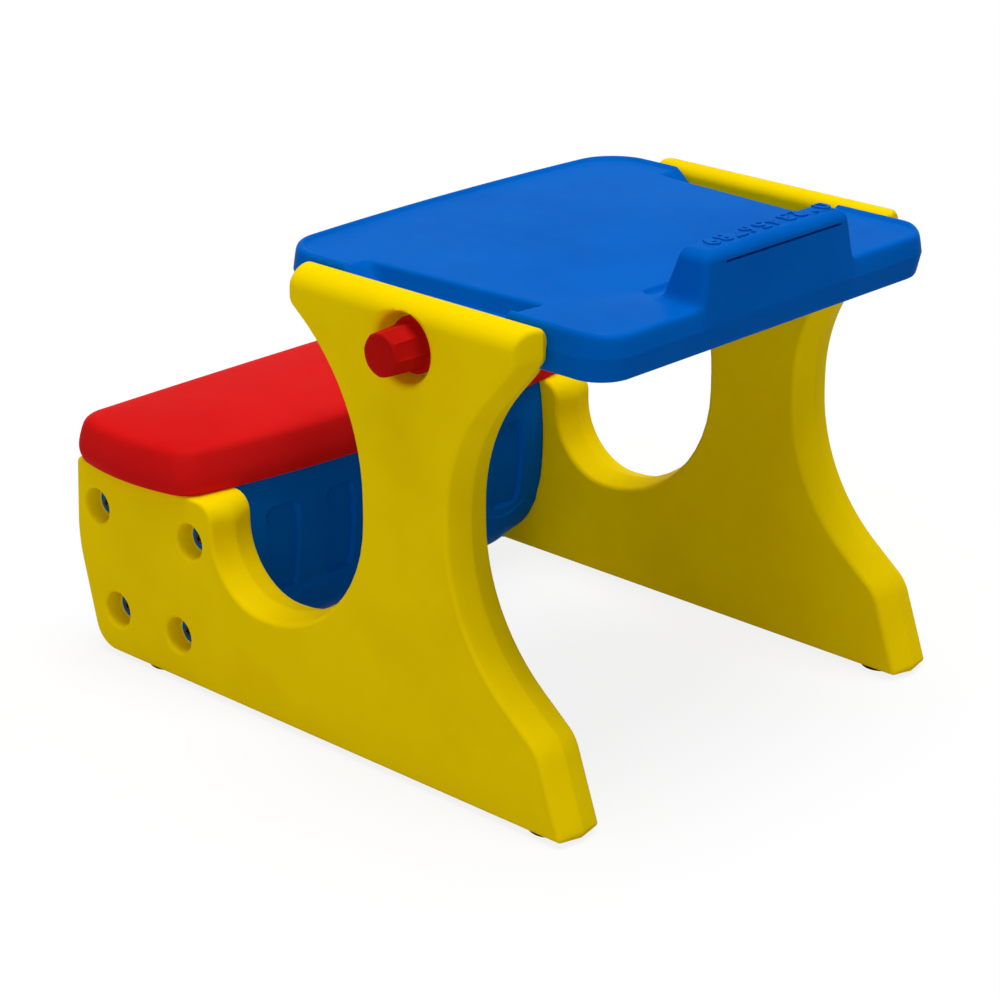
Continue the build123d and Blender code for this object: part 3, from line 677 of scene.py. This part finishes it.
def lid_loop(inset_rear, inset_front, inset_end):
    """Plan of the lid at one level: a rounded rectangle whose sides bow out by a parabola."""
    x0, x1 = LID_X[0] + inset_rear, LID_X[1] - inset_front
    half = LID_HALF - inset_end
    corners = np.array([(x0, -half), (x1, -half), (x1, half), (x0, half)])
    corner = min(LID_CORNER, LID_CORNER_SHARE * (x1 - x0))
    loop = rolled_edges(corners, np.full(4, corner), np.zeros((1, 4)))[0]
    loop = spaced(np.concatenate([loop, loop[:1]]), LID_POINTS + 1)[:-1]
    along = (loop[:, 0] - (x0 + x1) / 2) / ((x1 - x0) / 2)
    across = loop[:, 1] / half
    bulge = np.where(along > 0, LID_BOW[1], LID_BOW[0]) * along
    x = loop[:, 0] + bulge * (1 - across**2)
    y = loop[:, 1] + LID_BOW[2] * across * (1 - along**2)
    return np.stack([x, y], axis=1)


def lid_sheets():
    """Rows of the plan from the flat underside round the edge to the crowned seat."""
    sections = cut_corners(LID_SECTIONS, 3)
    rows = [level_at(LID_BASE + part[0])(lid_loop(*part[1:])) for part in sections]
    sheets = [skin_grid(np.stack(rows), True)]
    sheets += flat_cap(rows[0][:, :2], [], level_at(LID_BASE))
    sheets += flat_cap(rows[-1][:, :2], [], level_at(LID_BASE + LID_SECTIONS[-1, 0]))
    for y in KNUCKLE_PLACES:
        sheets += slab_sheets(KNUCKLE_CORNERS, (y - KNUCKLE_HALF, y + KNUCKLE_HALF), KNUCKLE_BEVEL)
    return sheets


def refinished(node, skin):
    """Gives a turned piece that is kept from the frame the finish of its own metal."""
    node.data.materials.clear()
    node.data.materials.append(skin)


red_plastic = moulded_plastic("seat_red", RED_PALE, RED_DEEP, SATIN, SKIN_GRAIN)
lid = moulding("lid", lid_sheets(), red_plastic)
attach(lid, "lid")
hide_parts("seat_lid")
bright_steel = brushed_metal("pin_steel", STEEL_PALE, STEEL_DEEP, 0.3)
for hand in ("right", "left"):
    refinished(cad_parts["lid_hinge_pin_" + hand], bright_steel)

# Desk top: a hollow blue slab, blow-moulded, with a low rim, a tray along each side, a pencil groove
# and a number ledge with a card slot at the front. Round lugs below it carry the tilt screws.
DESK_REAR = 312.0
DESK_BOW = 11.0
DESK_FRONT = 730.0
DESK_HALF = 240.5
DESK_CORNERS = (50.0, 40.0)
DESK_BOW_FADE = (400.0, 90.0)
DESK_EDGE_POINTS = 24
DESK_BEND_POINTS = 17
DESK_BOTTOM = 423.0
WORK_TOP = 466.0
TRAY_DEPTH = 18.0
RIM_FADE = (700.0, 725.0)
TRAY_RAMP = (405.0, 429.0)
TRAY_REAR_REACH = (368.0, 400.0)
TRAY_FRONT_REACH = (622.0, 660.0)
TRAY_INSIDE = np.array([(405, 207.3), (510, 202), (609, 196)])
TRAY_FRONT = 609.0
TRAY_END_RISE = 3.6
TRAY_END_LEAN = 4.5
TRAY_END_SPAN = 45.0
TRAY_FLOOR_SHARES = np.array([0.3, 0.65])
PLAIN_BAND = 5.0
# Edge profiles: inset from the parting line and height
UNDER_EDGE = np.array([
    (12.5, 423), (9.8, 423), (7.6, 423.3), (5.8, 424.4), (4.5, 426.4), (3.7, 429.4), (2.6, 434.5),
    (1.3, 440.2), (0.3, 445.2),
])
RIM_EDGE = np.array([
    (0, 446), (0.3, 447.6), (1.0, 453), (1.8, 458.6), (2.6, 463), (3.3, 465.6), (4.2, 467.3),
    (5.4, 468.4), (6.9, 469), (8.6, 468.95), (9.8, 468.4), (10.9, 467.5), (12, 466.6),
    (13.2, 466.1), (14.6, 466),
])
PLAIN_EDGE = np.array([
    446, 447.6, 452.6, 457.6, 461.4, 463.4, 464.7, 465.5, 465.9, 466, 466, 466, 466, 466, 466,
])
TRAY_EDGE = np.array([
    (0, 446), (0.2, 446.8), (0.7, 447.5), (1.4, 447.9), (2.2, 448), (3.2, 448), (4.4, 448),
    (5.6, 448), (7, 448), (8.4, 448), (9.6, 448), (10.8, 448), (12, 448), (13.2, 448), (14.6, 448),
])
TRAY_WALL = np.array([
    (-9, 0), (-6.5, 0.3), (-5, 1.1), (-4, 2.4), (-0.6, 14.2), (0.2, 16), (1.2, 17.2), (2.4, 17.85),
    (3.8, 18), (7, 18),
])
SIDE_STATIONS = np.concatenate([
    np.arange(365, 400, 4.0), np.arange(401, 434, 2.0), np.arange(438, 600, 9.0),
    np.arange(603, 607, 1.5), np.arange(607, 616.1, 0.75), np.arange(618, 690, 4.0),
])
GROOVE_PLACE = 661.0
GROOVE_HALF = 109.0
GROOVE_POINTS = 96
GROOVE = np.array([
    (10.5, 0), (9.6, -0.15), (8.8, -0.6), (8, -1.4), (6.8, -2.8), (5.2, -4.1), (3.4, -4.85),
    (1.6, -5.15), (0.4, -5.2),
])
LEDGE_FOOT = (673.0, 114.0)
LEDGE_HEAD = (692.0, 101.0)
LEDGE_BASE = 446.0
LEDGE_TOP = 514.4
LEDGE_FRONT = np.array([(440, 727.0), (446, 729.95), (516, 726.5)])
LEDGE_ROUND = 10.0
LEDGE_REAR_ROUND = 5.0
LEDGE_CORNER = 8.0
LEDGE_CORNER_LEAST = 2.0
LEDGE_FILLET = np.array([
    (-26, 11), (-20, 11), (-17, 11), (-14, 11), (-10, 11), (-5, 11), (-0.3, 11), (0.2, 7.5),
    (0.9, 4.6), (2.2, 2.3), (4.4, 0.8), (7.6, 0),
])
LEDGE_LEVELS = (480.0, 488.0, 496.0)
SLOT_LEVELS = (501.6, 503.8)
SLOT_HALF = 83.0
SLOT_DEPTH = 9.0
SLOT_Y = 6.5
SLOT_EDGE = 0.05
DIGIT_HEIGHT = 19.5
DIGIT_TYPE = 1.38
DIGIT_RAISE = 1.2
DIGIT_BEVEL = 0.25
DIGIT_SWELL = 0.5
DIGIT_WIDEN = 1.05
DIGIT_PITCH = 17.6
DIGIT_X = 703.5
DIGIT_Y = 9.0
LUG = np.array([
    (0, 195.7), (27, 195.7), (29, 196.4), (30, 198.5), (30, 239), (29.4, 240.3), (28.4, 240.7),
    (10.02, 240.7), (10.02, 216.7), (0, 216.7),
])
LUG_CEILING = 17.0
BRASS_PALE = (0.72, 0.5, 0.2, 1)
BRASS_DEEP = (0.62, 0.42, 0.16, 1)


def desk_edge():
    """Plan of the slab at its parting line, with close stations along the trays' ends: rear edge
    bowed by a parabola, quarter rounds at the corners. Returns places and inward normals."""
    r0, r1 = DESK_CORNERS
    quarter = np.linspace(0, np.pi / 2, DESK_BEND_POINTS)
    rear = np.linspace(0, DESK_HALF - r0, DESK_EDGE_POINTS)
    front = np.linspace(DESK_HALF - r1, 0, DESK_EDGE_POINTS)
    rear_bend = r0 * np.stack([-np.cos(quarter), np.sin(quarter)], axis=1)
    front_bend = r1 * np.stack([np.sin(quarter), np.cos(quarter)], axis=1)
    half = np.concatenate([
        np.stack([np.full(DESK_EDGE_POINTS, DESK_REAR), rear], axis=1),
        (DESK_REAR + r0, DESK_HALF - r0) + rear_bend[1:],
        np.stack([SIDE_STATIONS, np.full(len(SIDE_STATIONS), DESK_HALF)], axis=1),
        (DESK_FRONT - r1, DESK_HALF - r1) + front_bend,
        np.stack([np.full(DESK_EDGE_POINTS, DESK_FRONT), front], axis=1)[1:],
    ])
    path = np.concatenate([half, half[-2:0:-1] * (1, -1)])
    near_rear = np.clip((DESK_BOW_FADE[0] - path[:, 0]) / DESK_BOW_FADE[1], 0, 1)
    bow = DESK_BOW * (1 - (path[:, 1] / DESK_HALF) ** 2) * near_rear
    path = path - np.stack([bow, np.zeros(len(bow))], axis=1)
    flow = np.roll(path, -1, axis=0) - np.roll(path, 1, axis=0)
    flow /= np.linalg.norm(flow, axis=1)[:, None]
    return path, np.stack([flow[:, 1], -flow[:, 0]], axis=1)


def slab_top_rows():
    """Rows inward from the slab's edge, as inset and height. Beside a tray the rim's profile gives
    way to the tray's: a ramp at its rear end, a steep wall at its front and along its inside."""
    path, inward = desk_edge()
    x = path[:, 0]
    on_side = np.abs(path[:, 1]) > DESK_HALF - 0.01
    fade = 1 - smooth_step(RIM_FADE[0], RIM_FADE[1], x)[:, None]
    wall = DESK_HALF - np.interp(x, TRAY_INSIDE[:, 0], TRAY_INSIDE[:, 1])
    ramp = np.clip((x - TRAY_RAMP[0]) / (TRAY_RAMP[1] - TRAY_RAMP[0]), 0, 1) * on_side
    ramp = (ramp * 0.75 + 0.25 * ramp * ramp * (3 - 2 * ramp))[:, None]
    reach = smooth_step(*TRAY_REAR_REACH, x) * (1 - smooth_step(*TRAY_FRONT_REACH, x))
    reach = (reach * on_side)[:, None]
    rim_width = RIM_EDGE[-1, 0]
    floor_width = wall[:, None] + TRAY_WALL[0, 0] - rim_width
    floor = rim_width + floor_width * TRAY_FLOOR_SHARES
    inset = np.concatenate([floor, wall[:, None] + TRAY_WALL[:, 0]], axis=1)
    plain = rim_width + PLAIN_BAND * np.linspace(0.08, 1, inset.shape[1])
    inset = plain + (inset - plain) * reach
    rise = np.interp(inset - wall[:, None], TRAY_WALL[:, 0], TRAY_WALL[:, 1])
    edge_in = RIM_EDGE[:, 0] * np.ones((len(x), 1))
    lean = TRAY_END_LEAN * np.concatenate([edge_in, inset], axis=1) / TRAY_END_SPAN
    share = ramp * (1 - smooth_step(0, TRAY_END_RISE, x[:, None] - TRAY_FRONT - lean))
    edge_share = share[:, : len(RIM_EDGE)]
    rim = PLAIN_EDGE + (RIM_EDGE[:, 1] - PLAIN_EDGE) * fade
    edge_z = rim + (TRAY_EDGE[:, 1] - rim) * edge_share
    edge_u = edge_in + (TRAY_EDGE[:, 0] - edge_in) * edge_share
    tray_z = WORK_TOP - (TRAY_DEPTH - rise) * share[:, len(RIM_EDGE):]
    under_u = UNDER_EDGE[:, 0] * np.ones((len(x), 1))
    under_z = UNDER_EDGE[:, 1] * np.ones((len(x), 1))
    deep = np.concatenate([under_u, edge_u, inset], axis=1).T
    height = np.concatenate([under_z, edge_z, tray_z], axis=1).T
    place = path + inward * deep[..., None]
    return np.concatenate([place, height[..., None]], axis=-1)


def ledge_loop(rear, front, half, corner):
    """Plan of the ledge at one level, with fixed stations along the slot."""
    end = SLOT_HALF + SLOT_EDGE
    slot = np.concatenate([[-end], np.linspace(-SLOT_HALF, SLOT_HALF, 56), [end]]) + SLOT_Y
    before = np.linspace(corner - half, slot[0], 6)[1:-1]
    after = np.linspace(slot[-1], half - corner, 6)[1:-1]
    along = np.concatenate([before, slot, after])
    back = np.linspace(half - corner, corner - half, 60)[1:-1]
    return rounded_plan((rear, front), half, corner, 8, along, 10, back)


def ledge_sheets():
    """Rows of the plan up the ledge: its front grows out of the slab's, a hollow fillet rounds the
    foot of the other sides, and the top is rolled by a quarter round. The slot is a stretch of the
    front pushed in between two levels."""
    angle = np.linspace(0, np.pi / 2, 9)
    rolled_z = LEDGE_TOP - LEDGE_ROUND + LEDGE_ROUND * np.sin(angle)
    rolled_in = LEDGE_ROUND * (1 - np.cos(angle))
    low, high = SLOT_LEVELS
    body_z = (*LEDGE_LEVELS, low - SLOT_EDGE, low, high, high + SLOT_EDGE)
    height = np.concatenate([WORK_TOP + LEDGE_FILLET[:, 0], body_z, rolled_z])
    out = np.concatenate([LEDGE_FILLET[:, 1], np.zeros(len(body_z)), -rolled_in])
    pushed = (height >= low) & (height <= high)
    rows = []
    for level, extra, in_slot in zip(height, out, pushed):
        part = (level - LEDGE_BASE) / (LEDGE_TOP - LEDGE_BASE)
        rear, half = np.array(LEDGE_FOOT) + (np.array(LEDGE_HEAD) - LEDGE_FOOT) * part
        front = np.interp(level, LEDGE_FRONT[:, 0], LEDGE_FRONT[:, 1])
        back = extra if extra > 0 else extra * LEDGE_REAR_ROUND / LEDGE_ROUND
        corner = max(LEDGE_CORNER + extra, LEDGE_CORNER_LEAST)
        loop = ledge_loop(rear - back, front + min(extra, 0), half + extra, corner)
        in_mouth = np.abs(loop[:, 1] - SLOT_Y) < SLOT_HALF + SLOT_EDGE / 2
        loop[:, 0] -= SLOT_DEPTH * (in_mouth & (loop[:, 0] > front - 2) & in_slot)
        rows.append(level_at(level)(loop))
    sheets = [skin_grid(np.stack(rows), True)]
    sheets += flat_cap(rows[0][:, :2], [], level_at(height[0]))
    sheets += flat_cap(rows[-1][:, :2], [], level_at(LEDGE_TOP))
    return sheets


def groove_rows():
    """Rows of a long oval from the rim of the groove down to its bottom line."""
    angle = np.linspace(0, 2 * np.pi, GROOVE_POINTS, endpoint=False)
    end = np.where(np.sin(angle) >= 0, 1, -1) * (GROOVE_HALF - GROOVE[0, 0])
    x = GROOVE_PLACE + GROOVE[:, :1] * np.cos(angle)
    y = end + GROOVE[:, :1] * np.sin(angle)
    return np.stack([x, y, np.broadcast_to(WORK_TOP + GROOVE[:, 1:], x.shape)], axis=-1)


def digit_sheet(figure, y):
    """One raised figure, read from the seat: outline text made a mesh, then laid on the ledge."""
    text = bpy.data.curves.new("figure", "FONT")
    text.body = figure
    text.align_x = "CENTER"
    text.size = DIGIT_HEIGHT * DIGIT_TYPE
    text.extrude = DIGIT_RAISE
    text.bevel_depth = DIGIT_BEVEL
    text.offset = DIGIT_SWELL
    carrier = bpy.data.objects.new("figure", text)
    shape = bpy.data.meshes.new_from_object(carrier)
    flat = np.empty(len(shape.vertices) * 3)
    shape.vertices.foreach_get("co", flat)
    flat = flat.reshape(-1, 3)
    faces = [tuple(face.vertices) for face in shape.polygons]
    bpy.data.objects.remove(carrier)
    bpy.data.meshes.remove(shape)
    bpy.data.curves.remove(text)
    x = DIGIT_X - DIGIT_HEIGHT / 2 + flat[:, 1]
    past = np.clip((LEDGE_HEAD[0] + LEDGE_REAR_ROUND - x) / LEDGE_REAR_ROUND, 0, 1)
    level = LEDGE_TOP - LEDGE_ROUND * (1 - np.sqrt(1 - past**2))
    return np.stack([x, y - flat[:, 0] * DIGIT_WIDEN, level + flat[:, 2]], axis=1), faces


slab = slab_top_rows()
groove = groove_rows()
sheets = [skin_grid(slab, True), skin_grid(groove, True)]
sheets += flat_cap(slab[0][:, :2], [], level_at(DESK_BOTTOM))
sheets += flat_cap(slab[-1][:, :2], [groove[0][:, :2]], level_at(WORK_TOP))
sheets.append((groove[-1], [tuple(range(GROOVE_POINTS))]))
sheets += ledge_sheets()
for side in (-1, 1):
    lug = turned(LUG, 72) * (1, side, 1)
    lug[..., 2] = np.minimum(lug[..., 2], LUG_CEILING)
    sheets.append(skin_grid(lug + np.array([PIVOT_X, 0, DESK_BOTTOM]), True))
for order in range(10):
    sheets.append(digit_sheet(str(order), DIGIT_Y + DIGIT_PITCH * (4.5 - order)))
desk = moulding("desk_top", sheets, blue_plastic)
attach(desk, "desk")
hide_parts("table_top")
turned_brass = brushed_metal("insert_brass", BRASS_PALE, BRASS_DEEP, 0.35)
for hand in ("right", "left"):
    refinished(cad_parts["desk_insert_" + hand], turned_brass)

# Tilt knobs: red hand knobs with eight wide flutes on a plain flange, moulded over a steel stud. A
# grey washer lies under each, and the stud runs through the panel into the desk's insert.
KNOB_FLUTES = 8
KNOB_FLUTE_POWER = 0.4
KNOB_TURN = 0.497
# Profile: distance from the middle plane, radius, and depth of the flutes
KNOB = np.array([
    (257.0, 0, 0), (257.0, 6.05, 0), (257.0, 25.8, 0), (257.3, 26.6, 0), (258.0, 27, 0),
    (261.6, 27, 0), (262.6, 26.6, 0), (263.0, 25.8, 0), (263.2, 24.9, 0.3), (263.8, 24.6, 1.3),
    (265.5, 24.6, 2.4), (270, 24.3, 3.0), (278, 23.7, 3.2), (286, 23.2, 3.2), (294, 22.7, 3.1),
    (298.5, 22.4, 2.8), (301, 22.0, 2.0), (302.5, 21.3, 1.1), (303.5, 20.2, 0.5), (303.95, 18.8, 0.1),
    (304.0, 17.6, 0), (303.7, 16.8, 0), (303.3, 16.2, 0), (303.2, 15, 0), (303.2, 0, 0),
])
KNOB_PALE = (0.53, 0.008, 0.006, 1)
KNOB_DEEP = (0.48, 0.006, 0.005, 1)
GREY_PALE = (0.12, 0.12, 0.12, 1)
GREY_DEEP = (0.09, 0.09, 0.09, 1)
WASHER_GREY = np.array([
    (6.02, 255), (25.4, 255), (26, 255.4), (26, 256.6), (25.4, 257), (6.02, 257), (6.02, 255),
])


def knob_rows():
    """Radius as a function of angle and reach: the turned profile less wide hollows that leave
    narrow ribs, the hollow's depth fading out at the flange and at the face."""
    angle = np.linspace(0, 2 * np.pi, 144, endpoint=False)
    hollow = np.abs(np.cos(KNOB_FLUTES / 2 * (angle + KNOB_TURN))) ** KNOB_FLUTE_POWER
    radius = KNOB[:, 1:2] - KNOB[:, 2:3] * hollow
    x = radius * np.cos(angle)
    z = radius * np.sin(angle)
    return np.stack([x, np.broadcast_to(KNOB[:, :1], x.shape), z], axis=-1)


knob_red = moulded_plastic("knob_red", KNOB_PALE, KNOB_DEEP, SATIN, SKIN_GRAIN)
grey_plastic = moulded_plastic("washer_grey", GREY_PALE, GREY_DEEP, 0.5, 0.15)
axle = np.array([PIVOT_X, 0, SHELF_HEIGHT])
for hand, side in (("right", -1.0), ("left", 1.0)):
    grip = skin_grid(knob_rows() * (1, side, 1) + axle, True)
    knob = moulding("knob_" + hand, [grip], knob_red)
    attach(knob, "knob_" + hand)
    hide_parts("tilt_knob_" + hand)
    disc = skin_grid(turned(WASHER_GREY) * (1, side, 1) + axle, True)
    washer = moulding("knob_seat_" + hand, [disc], grey_plastic)
    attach(washer, "knob_" + hand)
    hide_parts("knob_washer_" + hand)
    refinished(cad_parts["knob_stud_" + hand], bright_steel)

# Studio: a white paper floor under a wide soft light from above, with a weak fill from the front and
# an even white surround. Where the camera or a gloss looks past the object it meets plain white.
FLOOR_REACH = 14.0
# Lamps: strength, spread and lean in degrees, and whether they cast shadows
LAMPS = (
    ("overhead_softbox", 2.45, 40, (-4, 2, 0), True),
    ("front_fill", 0.65, 60, (75, 0, 20), False),
)


def seen_rays(tree):
    """One for rays from the camera, a gloss or clear stuff, else nought: the largest of the three."""
    ray = tree.nodes.new("ShaderNodeLightPath")
    share = ray.outputs["Is Camera Ray"]
    for kind in ("Is Glossy Ray", "Is Transmission Ray"):
        larger = tree.nodes.new("ShaderNodeMath")
        larger.operation = "MAXIMUM"
        tree.links.new(share, larger.inputs[0])
        tree.links.new(ray.outputs[kind], larger.inputs[1])
        share = larger.outputs[0]
    return share


scene = bpy.context.scene
scene.view_settings.view_transform = "Standard"
world = bpy.data.worlds.new("studio")
scene.world = world
world.use_nodes = True
sky = world.node_tree
surround = sky.nodes["Background"]
surround.inputs["Color"].default_value = (1, 1, 1, 1)
surround.inputs["Strength"].default_value = 0.22
plain_white = sky.nodes.new("ShaderNodeBackground")
plain_white.inputs["Color"].default_value = (1, 1, 1, 1)
either = sky.nodes.new("ShaderNodeMixShader")
sky.links.new(seen_rays(sky), either.inputs["Fac"])
sky.links.new(surround.outputs[0], either.inputs[1])
sky.links.new(plain_white.outputs[0], either.inputs[2])
sky.links.new(either.outputs[0], sky.nodes["World Output"].inputs["Surface"])
floor_paint = bpy.data.materials.new("studio_floor")
floor_paint.use_nodes = True
floor_tree = floor_paint.node_tree
floor_shade = floor_tree.nodes["Principled BSDF"]
floor_shade.inputs["Base Color"].default_value = (0.48, 0.48, 0.48, 1)
floor_shade.inputs["Roughness"].default_value = 1.0
floor_shade.inputs["Specular IOR Level"].default_value = 0.0
floor_paper = floor_tree.nodes.new("ShaderNodeBsdfDiffuse")
floor_paper.inputs["Color"].default_value = (0.97, 0.97, 0.97, 1)
floor_white = floor_tree.nodes.new("ShaderNodeEmission")
floor_seen = floor_tree.nodes.new("ShaderNodeMixShader")
floor_seen.inputs["Fac"].default_value = 0.85
floor_either = floor_tree.nodes.new("ShaderNodeMixShader")
for source, target in (
    (floor_paper.outputs[0], floor_seen.inputs[1]),
    (floor_white.outputs[0], floor_seen.inputs[2]),
    (seen_rays(floor_tree), floor_either.inputs["Fac"]),
    (floor_shade.outputs[0], floor_either.inputs[1]),
    (floor_seen.outputs[0], floor_either.inputs[2]),
    (floor_either.outputs[0], floor_tree.nodes["Material Output"].inputs["Surface"]),
):
    floor_tree.links.new(source, target)
floor_mesh = bpy.data.meshes.new("floor")
floor_corners = np.array([(-1, -1, 0), (1, -1, 0), (1, 1, 0), (-1, 1, 0)]) * FLOOR_REACH
floor_mesh.from_pydata(floor_corners.tolist(), [], [(0, 1, 2, 3)])
floor_mesh.materials.append(floor_paint)
floor = bpy.data.objects.new("floor", floor_mesh)
scene.collection.objects.link(floor)
for lamp_name, energy, spread, lean, shades in LAMPS:
    lamp = bpy.data.lights.new(lamp_name, "SUN")
    lamp.energy = energy
    lamp.angle = math.radians(spread)
    lamp.use_shadow = shades
    softbox = bpy.data.objects.new(lamp_name, lamp)
    softbox.rotation_euler = [math.radians(part) for part in lean]
    scene.collection.objects.link(softbox)

# Camera: a long lens from the front right, a little above the desk, as a product picture is taken.
CAMERA_AZIMUTH = 43.545
CAMERA_ELEVATION = 21.374
CAMERA_PLACE = np.array([2335.74, -1781.8 - PANEL_OUTER, 1273.39]) + DATUM
CAMERA_LENS = 108.36
CAMERA_FILM = 36.0
CAMERA_FAR = 50.0
turn = math.radians(CAMERA_AZIMUTH)
rise = math.radians(CAMERA_ELEVATION)
level = math.cos(rise)
camera_back = Vector((math.sin(turn) * level, -math.cos(turn) * level, math.sin(rise)))
camera = bpy.data.objects.new("camera", bpy.data.cameras.new("camera"))
camera.data.lens = CAMERA_LENS
camera.data.sensor_width = CAMERA_FILM
camera.data.clip_end = CAMERA_FAR
camera.rotation_mode = "QUATERNION"
camera.rotation_quaternion = (-camera_back).to_track_quat("-Z", "Y")
camera.location = Vector(CAMERA_PLACE) * METRES
scene.collection.objects.link(camera)
scene.camera = camera
